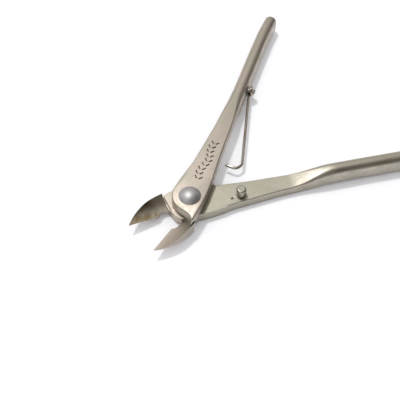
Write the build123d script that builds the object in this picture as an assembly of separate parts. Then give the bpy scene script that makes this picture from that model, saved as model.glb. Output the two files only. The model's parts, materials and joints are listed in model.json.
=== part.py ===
from build123d import *
import math
import os

# Sprue nippers: two lapped levers on one rivet, a stop pin and a wire return spring.
# Millimetres. Origin on the pivot axis at the underside, +X from the pivot along the
# centre line between the handles, jaws towards -X, +Z up through the rivet head.

# ---- driving dimensions ----
TOOL_HEIGHT = 8.0          # handles and joint, underside to top
LAP_GAP = 0.04             # running clearance between the two laps
OPEN_HALF_ANGLE = 16.5     # each lever stands this far from the centre line at rest
JAW_GAP = 0.03             # half of the clearance left between the closed cutting edges

HANDLE_STATIONS = (8.0, 14.0, 21.0, 33.0, 45.0, 59.0, 76.0, 88.0, 96.0)
HANDLE_OFFSETS = (1.65, 2.6, 4.0, 6.25, 8.85, 12.0, 16.0, 18.6, 19.9)
HANDLE_WIDTHS = (10.1, 8.8, 7.6, 6.1, 5.4, 5.1, 5.1, 5.1, 5.0)
LAP_END = 35.0             # the lap runs flat to here, then swells to the full height
SWELL_END = 51.0
LOWER_EDGE_RADIUS = 0.35
HANDLE_EDGE_RADIUS = 2.4
END_LENGTH = 2.4           # rounded end beyond the last station
END_STEP = 12              # degrees between the sections of the rounded end
STEPS_PER_STATION = 6

BOSS_REACH = 5.9           # joint end of the upper lever, towards the jaws
UPPER_EDGE_RADIUS = 0.6    # worn top edge of the upper lever's lap
LOWER_BOSS_RADIUS = 7.2    # joint end of the lower lever
RELIEF_X = 7.6             # each jaw reaches the full height beyond this distance
GROOVE_WIDTH = 0.6         # cut across the lower lap at the foot of its jaw
GROOVE_DEPTH = 0.9

JAW_LENGTH = 22.3          # pivot to tip
EDGE_ROOT_X = 11.6         # inner end of the cutting edge
EDGE_TIP_Z = 4.35
EDGE_ROOT_Z = 3.0
HOLLOW_RADIUS = 8.0        # ground hollow on top of each jaw

RIVET_RADIUS = 2.5
RIVET_FIT = 0.04
RIVET_HEAD_RADIUS = 3.8
RIVET_HEAD_HEIGHT = 1.7
RIVET_TAIL_RADIUS = 3.5
RIVET_TAIL_DEPTH = 1.0

STOP_PIN_POS = (17.2, -4.5)
STOP_PIN_RADIUS = 1.7
STOP_PIN_SHANK_RADIUS = 1.2
STOP_PIN_EDGE_RADIUS = 0.6
STOP_PIN_HEIGHT = 3.5      # above the lap of the lower lever

WIRE_RADIUS = 0.55
COIL_RADIUS = 1.5          # to the centre of the wire
COIL_TURNS = 1.1
COIL_PITCH = 1.55
COIL_X = 56.4              # where the arm leaves the coil, along its lever
COIL_Y = 7.9
COIL_HEADING = 12.8        # the handle's slant at the coil, degrees
ARM_Z = 3.3                # height of the spring arm
ARM_CORNERS = ((24.0, -6.9), (21.3, -6.1), (20.9, -2.2))
ARM_BEND = 2.2
ARM_SOCKET = 0.08          # clearance between the arm's round root and the coil's end
POST_RADIUS = 0.85
POST_SINK = 2.4            # from the first turn back into the handle
POST_STAND = 2.1

LEAF_COUNT = 9             # pairs of dents in the punched ornament on the upper lever
LEAF_START = (8.0, 1.6)
LEAF_END = (24.2, 4.5)
LEAF_LENGTH = 1.5
LEAF_SIDE = 0.6            # side of the square punch, held corner down
LEAF_RISE = 0.14           # the punch's centre line above the surface
LEAF_SPREAD = 0.85         # from the stem line to the middle of each dent
LEAF_SLANT = 40            # degrees from the stem line
LEAF_SWAY = 0.55           # side to side wave of the stem line

PUNCH_POS = (13.8, -4.7)   # centre punch mark beside the stop pin
PUNCH_RADIUS = 0.5

MIDDLE = TOOL_HEIGHT / 2


# ---- shared helpers ----
def smooth_step(value, start, end):
    """0 before start, 1 after end, an S curve between."""
    t = min(max((value - start) / (end - start), 0.0), 1.0)
    return t * t * (3 - 2 * t)


def block(plan, low, high):
    """A plan face at z = 0 turned into a solid from low to high."""
    return Pos(0, 0, low) * extrude(plan, amount=high - low)


def handle_section(x, y, width, heading, swell, scale, upper):
    """One cross-section of a lap and handle, square to its run."""
    reach = (MIDDLE - LAP_GAP / 2) + swell * (MIDDLE + LAP_GAP / 2)
    centre_z = TOOL_HEIGHT - reach / 2 if upper else reach / 2
    lap_radius = UPPER_EDGE_RADIUS if upper else LOWER_EDGE_RADIUS
    radius = lap_radius + swell * (HANDLE_EDGE_RADIUS - lap_radius)
    section_plane = Plane(
        origin=(x, y, centre_z),
        x_dir=(-math.sin(heading), math.cos(heading), 0),
        z_dir=(math.cos(heading), math.sin(heading), 0),
    )
    return section_plane * RectangleRounded(width * scale, reach * scale, radius * scale)


def along(values, t):
    """A smooth curve through evenly numbered values, at the fractional place t."""
    last = len(values) - 1
    i = min(int(t), last - 1)
    f = t - i
    a = values[max(i - 1, 0)]
    b = values[i]
    c = values[i + 1]
    d = values[min(i + 2, last)]
    slope = c - a
    bend = 2 * a - 5 * b + 4 * c - d
    twist = 3 * b - a - 3 * c + d
    return b + 0.5 * f * (slope + f * (bend + f * twist))


def handle(upper):
    """Lap and handle in short lengths, with a rounded end, on the +y side."""
    faces = []
    steps = (len(HANDLE_STATIONS) - 1) * STEPS_PER_STATION
    for i in range(steps + 1):
        t = i / STEPS_PER_STATION
        x = along(HANDLE_STATIONS, t)
        y = along(HANDLE_OFFSETS, t)
        nearby = t - 0.05 if i == steps else t + 0.05
        run = (along(HANDLE_STATIONS, nearby) - x) * (nearby - t)
        rise = (along(HANDLE_OFFSETS, nearby) - y) * (nearby - t)
        heading = math.atan2(rise, run)
        width = along(HANDLE_WIDTHS, t)
        swell = smooth_step(x, LAP_END, SWELL_END)
        faces.append(handle_section(x, y, width, heading, swell, 1.0, upper))
    for turn in range(END_STEP, 90, END_STEP):
        ahead = END_LENGTH * math.sin(math.radians(turn))
        scale = math.cos(math.radians(turn))
        end_x = x + ahead * math.cos(heading)
        end_y = y + ahead * math.sin(heading)
        faces.append(handle_section(end_x, end_y, width, heading, 1.0, scale, upper))
    return loft(faces, ruled=True)


def jaw_plan():
    """Outline of one jaw and its neck on the +y side, with the throat notch."""
    root = (-EDGE_ROOT_X, JAW_GAP)
    tip = (-JAW_LENGTH, JAW_GAP)
    outer = Spline(tip, (-20.2, 2.15), (-17.3, 4.05), (-14.2, 5.3), (-11.0, 5.95), (-7.2, 6.3))
    inside = Polyline((-7.2, 6.3), (-4.0, 5.2), (-4.0, 0.6), (-6.9, 0.3))
    throat = ThreePointArc((-6.9, 0.3), (-9.4, 1.35), root)
    edge = Line(root, tip)
    return make_face([outer, inside, throat, edge])


def jaw():
    """A jaw block, rising underneath towards the tip and hollow ground on top."""
    under = Spline((-6.4, 0.3), (-10.3, 1.55), (-14.5, 2.75), (-18.4, 3.6), (-JAW_LENGTH - 0.3, 4.2))
    front = -JAW_LENGTH - 0.3
    roof = Polyline((front, 4.2), (front, TOOL_HEIGHT), (-3.0, TOOL_HEIGHT), (-3.0, 0.3), (-6.4, 0.3))
    profile = Plane.XZ * make_face([under, roof])
    side = Pos(0, 10, 0) * extrude(profile, amount=20)
    return block(jaw_plan(), 0, TOOL_HEIGHT) & side


def hollow_tool():
    """The grinding wheel's path: a long cylinder parallel to the cutting edge."""
    run = JAW_LENGTH - EDGE_ROOT_X
    slope = math.degrees(math.atan2(EDGE_TIP_Z - EDGE_ROOT_Z, run))
    wheel = Rotation(0, -90 + slope, 0) * Cylinder(HOLLOW_RADIUS, 60)
    return Pos(-JAW_LENGTH, -0.25, EDGE_TIP_Z + HOLLOW_RADIUS) * wheel


def upper_plate():
    """Joint end of the upper lever: round outside, an S-shaped shoulder over its jaw."""
    boss = ThreePointArc((0.9, 6.55), (-4.15, 4.35), (-BOSS_REACH, 1.0))
    outer = Spline((11.0, 6.85), (7.0, 6.8), (4.0, 6.7), (0.9, 6.55), tangents=((-1, 0), boss % 0))
    shoulder = Spline((-BOSS_REACH, 1.0), (-6.4, -3.0), (-8.9, -5.9), tangents=(boss % 1, (-1, -0.35)))
    near = Spline((-8.9, -5.9), (-4.0, -5.7), (1.0, -5.1), (5.0, -4.35), (9.0, -3.39), (11.0, -3.0))
    close = Line((11.0, -3.0), (11.0, 6.85))
    plan = make_face([outer, boss, shoulder, near, close])
    plate = block(plan, MIDDLE + LAP_GAP / 2, TOOL_HEIGHT)
    rim = plate.edges().filter_by(Plane.XY).group_by(Axis.Z)[-1]
    return fillet(rim.sort_by(Axis.X)[:-1], UPPER_EDGE_RADIUS)


def lower_plate():
    """Joint end of the lower lever: a boss that turns inside the upper jaw's relief."""
    far = Spline((-RELIEF_X, 6.3), (-5.6, 6.9), (-2.0, 6.8), (4.0, 5.0), (9.0, 3.39), (11.0, 3.0))
    close = Line((11.0, 3.0), (11.0, -6.85))
    near = Spline((11.0, -6.85), (7.0, -6.7), (3.5, -6.35), (0.6, -5.85))
    boss = ThreePointArc((0.6, -5.85), (-5.1, -4.8), (-LOWER_BOSS_RADIUS, -0.3))
    throat = Polyline((-LOWER_BOSS_RADIUS, -0.3), (-RELIEF_X, 0.9), (-RELIEF_X, 6.3))
    plan = make_face([far, close, near, boss, throat])
    return block(plan, 0, MIDDLE - LAP_GAP / 2)


def leaf_punch():
    """A short square rod along x, one corner down."""
    return Rotation(45, 0, 0) * Box(LEAF_LENGTH, LEAF_SIDE, LEAF_SIDE)


def leaf_ornament():
    """Punches in slanting pairs along a gently waving stem line."""
    run = LEAF_END[0] - LEAF_START[0]
    rise = LEAF_END[1] - LEAF_START[1]
    slant = math.degrees(math.atan2(rise, run))
    punches = []
    for i in range(LEAF_COUNT):
        f = i / (LEAF_COUNT - 1)
        sway = LEAF_SWAY * math.sin(3 * math.pi * f)
        stem = Pos(LEAF_START[0] + f * run, LEAF_START[1] + f * rise, TOOL_HEIGHT + LEAF_RISE)
        for side in (-1, 1):
            beside = Rotation(0, 0, slant) * Pos(0, sway + side * LEAF_SPREAD, 0)
            punches.append(stem * beside * Rotation(0, 0, side * LEAF_SLANT) * leaf_punch())
    return punches


def upper_lever():
    """Handle on +y, jaw on -y, lap in the tool's upper half."""
    relief = Pos(-RELIEF_X, -20, -1) * Box(40, 40, MIDDLE + LAP_GAP / 2 + 1, align=Align.MIN)
    nose = mirror(jaw() - hollow_tool(), about=Plane.XZ) - relief
    body = handle(True) + upper_plate() + nose
    body = body - Cylinder(RIVET_RADIUS + RIVET_FIT, 30)
    return body - post() - leaf_ornament()


def lower_lever():
    """Handle on -y, jaw on +y, lap in the tool's lower half."""
    recess = Pos(-RELIEF_X, -20, MIDDLE - LAP_GAP / 2) * Box(40, 40, 20, align=Align.MIN)
    nose = jaw() - hollow_tool() - recess
    body = mirror(handle(False), about=Plane.XZ) + lower_plate() + nose
    foot = Pos(-RELIEF_X, -20, MIDDLE - LAP_GAP / 2 - GROOVE_DEPTH)
    body = body - foot * Box(GROOVE_WIDTH, 40, 20, align=Align.MIN)
    body = body - Cylinder(RIVET_RADIUS, 30) - rivet_tail()
    punch = Pos(*PUNCH_POS, MIDDLE - LAP_GAP / 2) * Sphere(PUNCH_RADIUS)
    return body - stop_pin() - punch


def rivet_tail():
    """The peened tail, flush with the underside."""
    return Pos(0, 0, RIVET_TAIL_DEPTH / 2) * Cone(RIVET_TAIL_RADIUS, RIVET_RADIUS, RIVET_TAIL_DEPTH)


def pivot_rivet():
    """Shank through both laps, a low domed head on top."""
    on_base = (Align.CENTER, Align.CENTER, Align.MIN)
    shank = Cylinder(RIVET_RADIUS, TOOL_HEIGHT + LAP_GAP, align=on_base)
    ball_radius = (RIVET_HEAD_RADIUS**2 + RIVET_HEAD_HEIGHT**2) / (2 * RIVET_HEAD_HEIGHT)
    seat = TOOL_HEIGHT + LAP_GAP / 2
    ball = Pos(0, 0, seat + RIVET_HEAD_HEIGHT - ball_radius) * Sphere(ball_radius)
    keep = Pos(0, 0, seat) * Cylinder(RIVET_HEAD_RADIUS + 1, 10, align=on_base)
    return shank + rivet_tail() + (ball & keep)


def stop_pin():
    """Stud with a rounded rim standing on the lower lap, its shank flush with the underside."""
    x, y = STOP_PIN_POS
    seat = MIDDLE - LAP_GAP / 2
    shank = Cylinder(STOP_PIN_SHANK_RADIUS, seat, align=(Align.CENTER, Align.CENTER, Align.MIN))
    stud = Cylinder(STOP_PIN_RADIUS, STOP_PIN_HEIGHT, align=(Align.CENTER, Align.CENTER, Align.MIN))
    stud = fillet(stud.edges().group_by(Axis.Z)[-1], STOP_PIN_EDGE_RADIUS)
    return Pos(x, y, 0) * (shank + Pos(0, 0, seat) * stud)


def coil_plane():
    """Origin on the coil's axis at the first turn, z square off the handle's inner side."""
    heading = math.radians(COIL_HEADING)
    return Plane(
        origin=(COIL_X, COIL_Y, ARM_Z + COIL_RADIUS),
        x_dir=(0, 0, -1),
        z_dir=(math.sin(heading), -math.cos(heading), 0),
    )


def post():
    """Round post in the handle that the coil sits on."""
    length = POST_SINK + POST_STAND
    rod = Cylinder(POST_RADIUS, length, align=(Align.CENTER, Align.CENTER, Align.MIN))
    rod = fillet(rod.edges().group_by(Axis.Z)[-1], POST_RADIUS * 0.6)
    return coil_plane() * Pos(0, 0, -POST_SINK) * rod


def spring_coil():
    """The turns of wire on the post, hollowed at the start for the arm's round root."""
    turns = coil_plane() * Helix(COIL_PITCH, COIL_PITCH * COIL_TURNS, COIL_RADIUS)
    start = Plane(origin=turns @ 0, z_dir=turns % 0) * Circle(WIRE_RADIUS)
    wire = sweep(start, path=turns, is_frenet=True)
    return wire - Pos(COIL_X, COIL_Y, ARM_Z) * Sphere(WIRE_RADIUS + ARM_SOCKET)


def spring_arm():
    """The long straight arm with its J-shaped end."""
    root = (COIL_X, COIL_Y, ARM_Z)
    corners = [(x, y, ARM_Z) for x, y in ARM_CORNERS]
    route = FilletPolyline(root, *corners, radius=ARM_BEND)
    start = Plane(origin=root, z_dir=route % 0) * Circle(WIRE_RADIUS)
    tip = Pos(*corners[-1]) * Sphere(WIRE_RADIUS)
    return sweep(start, path=route) + Pos(*root) * Sphere(WIRE_RADIUS) + tip


os.makedirs("parts", exist_ok=True)
upper_turn = Rotation(0, 0, OPEN_HALF_ANGLE)
lower_turn = Rotation(0, 0, -OPEN_HALF_ANGLE)
nodes = {
    "upper_lever": upper_turn * upper_lever(),
    "spring_post": upper_turn * post(),
    "spring_coil": upper_turn * spring_coil(),
    "spring_arm": upper_turn * spring_arm(),
    "lower_lever": lower_turn * lower_lever(),
    "stop_pin": lower_turn * stop_pin(),
    "pivot_rivet": pivot_rivet(),
}
for name, shape in nodes.items():
    export_step(shape, f"parts/{name}.step")
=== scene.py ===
import json
import math

import bmesh
import bpy
from mathutils import Matrix, Vector

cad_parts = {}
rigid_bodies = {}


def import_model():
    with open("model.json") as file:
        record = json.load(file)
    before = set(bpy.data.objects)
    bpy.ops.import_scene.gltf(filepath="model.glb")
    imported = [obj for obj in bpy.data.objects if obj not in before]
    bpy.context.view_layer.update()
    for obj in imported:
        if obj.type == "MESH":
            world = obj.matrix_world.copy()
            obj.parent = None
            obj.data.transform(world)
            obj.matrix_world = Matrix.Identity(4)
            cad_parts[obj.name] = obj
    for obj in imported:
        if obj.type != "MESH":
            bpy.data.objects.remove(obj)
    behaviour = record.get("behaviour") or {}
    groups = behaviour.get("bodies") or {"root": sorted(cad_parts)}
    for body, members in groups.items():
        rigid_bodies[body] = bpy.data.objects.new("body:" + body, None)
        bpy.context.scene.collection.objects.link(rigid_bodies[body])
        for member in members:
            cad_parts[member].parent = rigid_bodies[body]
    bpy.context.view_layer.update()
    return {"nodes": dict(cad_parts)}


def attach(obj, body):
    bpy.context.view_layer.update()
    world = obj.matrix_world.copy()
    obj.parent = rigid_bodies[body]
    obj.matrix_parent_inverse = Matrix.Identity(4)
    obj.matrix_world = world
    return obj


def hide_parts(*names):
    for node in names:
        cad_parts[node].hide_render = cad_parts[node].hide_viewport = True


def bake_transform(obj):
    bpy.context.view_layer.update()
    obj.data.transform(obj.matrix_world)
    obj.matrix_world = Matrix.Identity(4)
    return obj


for leftover in list(bpy.data.objects):
    bpy.data.objects.remove(leftover, do_unlink=True)
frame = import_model()
MM = 0.001

# ---- camera: the photograph's viewing angle ----
CAMERA_PLACE = Vector((-74.78, -88.49, 172.21)) * MM
CAMERA_ELEVATION = 55.22
CAMERA_HEADING = -41.89
CAMERA_LENS = 54.0
SENSOR_WIDTH = 36.0
CLIP_START = 5 * MM
OPEN_HALF_ANGLE = math.radians(16.5)   # each lever's turn from the middle line at rest


# ---- node helpers ----
class Nodes:
    """Short calls for building one node tree."""

    def __init__(self, tree):
        self.tree = tree

    def add(self, kind, inputs=(), **settings):
        node = self.tree.nodes.new(kind)
        for name, value in settings.items():
            setattr(node, name, value)
        for key, value in dict(inputs).items():
            self.feed(node.inputs[key], value)
        return node

    def feed(self, socket, value):
        if isinstance(value, bpy.types.NodeSocket):
            self.tree.links.new(value, socket)
        else:
            socket.default_value = value

    def math(self, operation, a, b):
        return self.add("ShaderNodeMath", {0: a, 1: b}, operation=operation).outputs[0]

    def blend(self, a, share_a, b, share_b):
        """The weighted sum of two values."""
        return self.math("ADD", self.math("MULTIPLY", a, share_a), self.math("MULTIPLY", b, share_b))

    def span(self, value, low, high, to_low=0.0, to_high=1.0):
        inputs = {"Value": value, "From Min": low, "From Max": high, "To Min": to_low, "To Max": to_high}
        return self.add("ShaderNodeMapRange", inputs, interpolation_type="SMOOTHSTEP").outputs[0]

    def noise(self, vector, scale, detail=3.0, rough=0.55):
        inputs = {"Vector": vector, "Scale": scale, "Detail": detail, "Roughness": rough}
        return self.add("ShaderNodeTexNoise", inputs).outputs["Fac"]

    def mix(self, factor, a, b):
        node = self.add("ShaderNodeMix", data_type="RGBA")
        self.feed(node.inputs["Factor"], factor)
        self.feed(node.inputs[6], a)
        self.feed(node.inputs[7], b)
        return node.outputs[2]


def new_material(name):
    material = bpy.data.materials.new(name)
    material.use_nodes = True
    nodes = Nodes(material.node_tree)
    shader = material.node_tree.nodes["Principled BSDF"]
    return material, nodes, shader


# ---- metals ----
CLOUD_SCALE = 160.0
BLOTCH_SCALE = 55.0
FLECK_SCALE = 1500.0
GRAIN_SCALE = 5200.0
LINE_SCALES = (60.0, 1900.0, 900.0)    # along, across and through the polishing lines
SOIL_TINT = (0.42, 0.38, 0.32)         # a dark speck's colour as a share of the plating's
FLECK_DEPTH = 0.42
LINE_DEPTH = 0.22
BUMP_STRENGTH = 0.10
BUMP_DISTANCE = 0.06 * MM
# Painted shade: creases, recesses and the gaps between parts are darkened towards this colour, as far as
# this reach.
CREASE_SHADE_REACH = 0.7 * MM
CREASE_SHADE_DEPTH = 0.85
CREASE_SHADE_COLOUR = (0.045, 0.034, 0.022, 1)
# Painted reflection: a dark brown reflection of the room, laid in patches into the lower jaw's hollow.
JAW_REFLECTION_START = 8.5 * MM
JAW_REFLECTION_FULL = 12.0 * MM
JAW_REFLECTION_SCALE = 330.0
JAW_REFLECTION_LEAST = 0.15
JAW_REFLECTION_MOST = 0.85
JAW_REFLECTION_COLOUR = (0.20, 0.135, 0.062, 1)
JAW_GLOSS = 0.75                       # the hollow's roughness, where its dark reflection is painted, as a share of the plate's
PLATE_WARM = (0.50, 0.44, 0.385, 1)
PLATE_COOL = (0.44, 0.42, 0.35, 1)
PLATE_ROUGHNESS = (0.38, 0.52)
PLATE_GRAIN = 2.6


def satin_nickel(name, warm, cool, roughness_range, grain=1.0, lay=0.0, jaw_reflection=False):
    """Satin nickel plating: colour clouds, fine grain, dark specks and polishing lines running along lay,
    painted shade darkening its creases and the gaps between parts, and, when asked, a painted dark brown
    reflection in the lower jaw's hollow.
    """
    material, n, shader = new_material(name)
    place = n.add("ShaderNodeTexCoord").outputs["Object"]
    clouds = n.noise(place, CLOUD_SCALE, 4.0, 0.6)
    blotch = n.noise(place, BLOTCH_SCALE, 2.0)
    along = n.add("ShaderNodeMapping", {"Vector": place, "Rotation": (0, 0, -lay)})
    lines_place = n.add("ShaderNodeMapping", {"Vector": along.outputs[0], "Scale": LINE_SCALES})
    lines = n.noise(lines_place.outputs[0], 1.0, 2.0, 0.6)
    grain_noise = n.noise(place, GRAIN_SCALE, 2.0, 0.7)
    fleck = n.noise(place, FLECK_SCALE, 3.0, 0.65)

    tone = n.blend(clouds, 0.5, blotch, 0.5)
    colour = n.mix(n.span(tone, 0.40, 0.60), warm, cool)
    dark = tuple(part * tint for part, tint in zip(warm, SOIL_TINT)) + (1.0,)
    colour = n.mix(n.math("MULTIPLY", n.span(fleck, 0.56, 0.72), FLECK_DEPTH), colour, dark)
    colour = n.mix(n.math("MULTIPLY", n.span(lines, 0.54, 0.74), LINE_DEPTH), colour, dark)
    # Painted shade: ambient occlusion darkens the colour in creases, recesses and between parts.
    shade = n.add("ShaderNodeAmbientOcclusion", {"Distance": CREASE_SHADE_REACH}, samples=8)
    crease_shade = n.span(shade.outputs["AO"], 0.30, 0.85, CREASE_SHADE_DEPTH, 0.0)
    colour = n.mix(crease_shade, colour, CREASE_SHADE_COLOUR)
    wear = n.blend(clouds, 0.6, lines, 0.4)
    roughness = n.span(wear, 0.35, 0.65, *roughness_range)

    # Painted reflection: the jaw's hollow is coloured dark brown in patches, and made glossier.
    if jaw_reflection:
        x = n.add("ShaderNodeSeparateXYZ", {0: place}).outputs["X"]
        hollow = n.span(x, -JAW_REFLECTION_START, -JAW_REFLECTION_FULL)
        reflection_noise = n.noise(place, JAW_REFLECTION_SCALE, 3.0, 0.6)
        patches = n.span(reflection_noise, 0.38, 0.62, JAW_REFLECTION_LEAST, JAW_REFLECTION_MOST)
        colour = n.mix(n.math("MULTIPLY", hollow, patches), colour, JAW_REFLECTION_COLOUR)
        roughness = n.math("MULTIPLY", roughness, n.span(hollow, 0.0, 1.0, 1.0, JAW_GLOSS))

    n.feed(shader.inputs["Base Color"], colour)
    n.feed(shader.inputs["Roughness"], roughness)
    shader.inputs["Metallic"].default_value = 1.0
    height = n.math("ADD", n.blend(grain_noise, 0.35, fleck, 0.4), n.math("MULTIPLY", lines, 0.35))
    bump_inputs = {"Height": height, "Strength": BUMP_STRENGTH * grain, "Distance": BUMP_DISTANCE}
    bump = n.add("ShaderNodeBump", bump_inputs)
    n.feed(shader.inputs["Normal"], bump.outputs["Normal"])
    return material


def lever_metal(name, lay, jaw_reflection=False):
    """One lever's plating, polished along that lever."""
    return satin_nickel(name, PLATE_WARM, PLATE_COOL, PLATE_ROUGHNESS, PLATE_GRAIN, lay, jaw_reflection)


upper_metal = lever_metal("upper_nickel", OPEN_HALF_ANGLE)
lower_metal = lever_metal("lower_nickel", -OPEN_HALF_ANGLE, jaw_reflection=True)
rivet_metal = satin_nickel("rivet_steel", (0.50, 0.495, 0.50, 1), (0.58, 0.58, 0.60, 1), (0.50, 0.58), 0.9)
pin_metal = satin_nickel("pin_nickel", (0.36, 0.345, 0.285, 1), (0.41, 0.40, 0.34, 1), (0.30, 0.40), 1.2)
wire_metal = satin_nickel("spring_wire", (0.40, 0.345, 0.28, 1), (0.50, 0.47, 0.41, 1), (0.15, 0.24), 0.6)
FINISH = {
    "pivot_rivet": rivet_metal,
    "stop_pin": pin_metal,
    "spring_post": pin_metal,
}
for node_name, finish in FINISH.items():
    frame["nodes"][node_name].material_slots[0].material = finish


# ---- levers: the CAD forms with softened edges ----
WELD_DISTANCE = 2e-6
FLAT_ANGLE = math.radians(0.4)
CORNER_ANGLE = math.radians(32)
EDGE_SOFTNESS = 0.20 * MM
EDGE_SEGMENTS = 2


def soft_lever(node_name, body, finish):
    """The lever's own form in one smooth skin, its sharp corners broken by a narrow bevel."""
    node = frame["nodes"][node_name]
    form = bmesh.new()
    form.from_mesh(node.data)
    form.transform(node.matrix_world)
    bmesh.ops.remove_doubles(form, verts=form.verts, dist=WELD_DISTANCE)
    bmesh.ops.dissolve_limit(form, angle_limit=FLAT_ANGLE, verts=form.verts, edges=form.edges)
    for face in form.faces:
        face.smooth = True
    for edge in form.edges:
        edge.smooth = edge.calc_face_angle(0.0) < CORNER_ANGLE
    mesh = bpy.data.meshes.new(node_name + "_skin")
    form.to_mesh(mesh)
    form.free()
    mesh.materials.append(finish)
    lever = bpy.data.objects.new(node_name + "_skin", mesh)
    bpy.context.collection.objects.link(lever)
    bevel = lever.modifiers.new("softened", "BEVEL")
    bevel.width = EDGE_SOFTNESS
    bevel.segments = EDGE_SEGMENTS
    bevel.limit_method = "ANGLE"
    bevel.angle_limit = CORNER_ANGLE
    bevel.use_clamp_overlap = True
    bevel.harden_normals = True
    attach(lever, body)
    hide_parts(node_name)


soft_lever("upper_lever", "upper", upper_metal)
soft_lever("lower_lever", "lower", lower_metal)


# ---- spring: one length of wire from the coil's free end to the hooked tip ----
# Millimetres in the upper lever's own frame, whose x axis runs along its handle.
WIRE_RADIUS = 0.55
COIL_RADIUS = 1.5
COIL_TURNS = 1.1
COIL_PITCH = 1.55
COIL_HEADING = math.radians(12.8)
COIL_STEPS = 26
WIRE_ROOT = Vector((56.4, 8.2, 3.3))
WIRE_CORNERS = (Vector((24.0, -6.9, 3.3)), Vector((21.3, -6.1, 3.3)))
WIRE_TIP = Vector((20.9, -2.2, 3.3))
WIRE_BEND = 1.9
BEND_STEPS = 7
ARM_STEPS = 14
WIRE_SIDES = 14
DOME_ANGLES = (0.55, 1.05, 1.4)        # radians up each end's dome, one ring at each


def rounded_corner(before, corner, after, radius):
    """Points on the arc that rounds one corner."""
    into = (corner - before).normalized()
    out = (after - corner).normalized()
    half_turn = into.angle(out) / 2
    inward = (out - into).normalized()
    centre = corner + inward * (radius / math.cos(half_turn))
    first = (corner - into * (radius * math.tan(half_turn)) - centre).normalized()
    last = (corner + out * (radius * math.tan(half_turn)) - centre).normalized()
    return [centre + first.slerp(last, i / BEND_STEPS) * radius for i in range(BEND_STEPS + 1)]


def spring_path():
    """The wire's centre line, from the coil's free end to the hooked tip."""
    outward = Vector((math.sin(COIL_HEADING), -math.cos(COIL_HEADING), 0))
    forward = Vector((math.cos(COIL_HEADING), math.sin(COIL_HEADING), 0))
    axis = WIRE_ROOT + Vector((0, 0, COIL_RADIUS))
    path = []
    for i in range(COIL_STEPS, 0, -1):
        turn = 2 * math.pi * COIL_TURNS * i / COIL_STEPS
        spoke = Vector((0, 0, -1)) * math.cos(turn) + forward * math.sin(turn)
        path.append(axis + spoke * COIL_RADIUS + outward * (COIL_PITCH * turn / (2 * math.pi)))
    first_bend = rounded_corner(WIRE_ROOT, WIRE_CORNERS[0], WIRE_CORNERS[1], WIRE_BEND)
    last_bend = rounded_corner(WIRE_CORNERS[0], WIRE_CORNERS[1], WIRE_TIP, WIRE_BEND)
    run = first_bend[0] - WIRE_ROOT
    for i in range(ARM_STEPS):
        path.append(WIRE_ROOT + run * (i / ARM_STEPS))
    return path + first_bend + last_bend + [WIRE_TIP]


def to_open_tool(point):
    """From the upper lever's own frame in millimetres to the open tool's frame in metres."""
    return Matrix.Rotation(OPEN_HALF_ANGLE, 3, "Z") @ point * MM


def tube(name, path, radius, sides):
    """A round tube along a path, its two ends domed."""
    ends = []
    for end, inner in ((path[0], path[1]), (path[-1], path[-2])):
        tip_way = (end - inner).normalized()
        ends.append([(end + tip_way * (radius * math.sin(a)), math.cos(a)) for a in DOME_ANGLES])
    rings = list(reversed(ends[0])) + [(point, 1.0) for point in path] + ends[1]
    form = bmesh.new()
    side = Vector((0, 0, 1))
    loops = []
    for i, (point, scale) in enumerate(rings):
        way = (rings[min(i + 1, len(rings) - 1)][0] - rings[max(i - 1, 0)][0]).normalized()
        side = (side - way * side.dot(way)).normalized()
        other = way.cross(side)
        loop = []
        for j in range(sides):
            angle = 2 * math.pi * j / sides
            spoke = side * math.cos(angle) + other * math.sin(angle)
            loop.append(form.verts.new(point + spoke * (radius * scale)))
        loops.append(loop)
    for a, b in zip(loops, loops[1:]):
        for j in range(sides):
            k = (j + 1) % sides
            form.faces.new((a[j], a[k], b[k], b[j])).smooth = True
    form.faces.new(list(reversed(loops[0])))
    form.faces.new(loops[-1])
    bmesh.ops.recalc_face_normals(form, faces=form.faces)
    mesh = bpy.data.meshes.new(name)
    form.to_mesh(mesh)
    form.free()
    wire = bpy.data.objects.new(name, mesh)
    bpy.context.collection.objects.link(wire)
    return wire


spring = tube("spring_wire", [to_open_tool(p) for p in spring_path()], WIRE_RADIUS * MM, WIRE_SIDES)
spring.data.materials.append(wire_metal)
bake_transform(spring)
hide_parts("spring_coil", "spring_arm")


# ---- floor, world, light ----
FLOOR_HALF = 1.5
FLOOR_DROP = 0.02 * MM                 # keeps the floor off the tool's flat underside
FLOOR_FILL = 0.92
FLOOR_BLUE = 1.04
BACKDROP = (0.92, 0.92, 0.92, 1)
ROOM_BRIGHT = (0.70, 0.68, 0.65, 1)
ROOM_DARK = (0.075, 0.056, 0.038, 1)
ROOM_LEFT = (0.62, 0.61, 0.59, 1)
BRIGHT_WAY = Vector((0.10, 0.75, 0.65)).normalized()
LEFT_WAY = Vector((-0.80, -0.40, 0.45)).normalized()
KEY_PLACE = Vector((0.05, 0.46, 1.20))
KEY_TARGET = Vector((0.03, 0.0, 0.0))
KEY_SIZE = 0.15
KEY_POWER = 6.4


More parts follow.
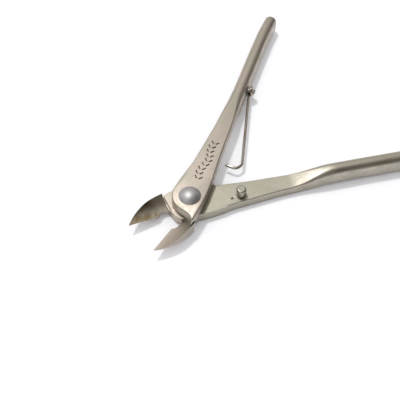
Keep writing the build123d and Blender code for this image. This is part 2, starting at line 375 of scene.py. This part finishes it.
def make_floor():
    mesh = bpy.data.meshes.new("floor")
    corners = [(x * FLOOR_HALF, y * FLOOR_HALF, 0) for x, y in ((-1, -1), (1, -1), (1, 1), (-1, 1))]
    mesh.from_pydata(corners, [], [(0, 1, 2, 3)])
    floor = bpy.data.objects.new("floor", mesh)
    bpy.context.collection.objects.link(floor)
    material, _, shader = new_material("floor_white")
    shader.inputs["Base Color"].default_value = (0.9, 0.9, 0.9, 1)
    shader.inputs["Roughness"].default_value = 0.9
    shader.inputs["Specular IOR Level"].default_value = 0.1
    mesh.materials.append(material)
    floor.location.z = -FLOOR_DROP


def make_world():
    """A pale studio: even light for the floor, and for the metal a bright far side and a dark near side."""
    world = bpy.data.worlds.new("studio")
    bpy.context.scene.world = world
    world.use_nodes = True
    n = Nodes(world.node_tree)
    background = world.node_tree.nodes["Background"]
    direction = n.add("ShaderNodeTexCoord").outputs["Generated"]
    bright = n.add("ShaderNodeVectorMath", {0: direction, 1: BRIGHT_WAY}, operation="DOT_PRODUCT")
    left = n.add("ShaderNodeVectorMath", {0: direction, 1: LEFT_WAY}, operation="DOT_PRODUCT")
    room = n.mix(n.span(bright.outputs["Value"], 0.0, 0.92), ROOM_DARK, ROOM_BRIGHT)
    room = n.mix(n.span(left.outputs["Value"], 0.70, 0.98), room, ROOM_LEFT)
    floor_light = (FLOOR_FILL, FLOOR_FILL, FLOOR_FILL * FLOOR_BLUE, 1)
    ray = n.add("ShaderNodeLightPath")
    lit = n.mix(ray.outputs["Is Diffuse Ray"], room, floor_light)
    n.feed(background.inputs["Color"], n.mix(ray.outputs["Is Camera Ray"], lit, BACKDROP))
    background.inputs["Strength"].default_value = 1.0


def make_key():
    """One soft disk above and beyond the tool."""
    light = bpy.data.lights.new("key", "AREA")
    light.shape = "DISK"
    light.size = KEY_SIZE
    light.energy = KEY_POWER
    lamp = bpy.data.objects.new("key", light)
    bpy.context.collection.objects.link(lamp)
    lamp.location = KEY_PLACE
    lamp.rotation_mode = "QUATERNION"
    lamp.rotation_quaternion = (KEY_TARGET - KEY_PLACE).to_track_quat("-Z", "Y")


make_floor()
make_world()
make_key()

camera_data = bpy.data.cameras.new("camera")
camera_data.lens = CAMERA_LENS
camera_data.sensor_width = SENSOR_WIDTH
camera_data.clip_start = CLIP_START
camera = bpy.data.objects.new("camera", camera_data)
bpy.context.collection.objects.link(camera)
camera.location = CAMERA_PLACE
camera.rotation_euler = (math.radians(90 - CAMERA_ELEVATION), 0, math.radians(CAMERA_HEADING))
bpy.context.scene.camera = camera
bpy.context.scene.view_settings.view_transform = "Standard"
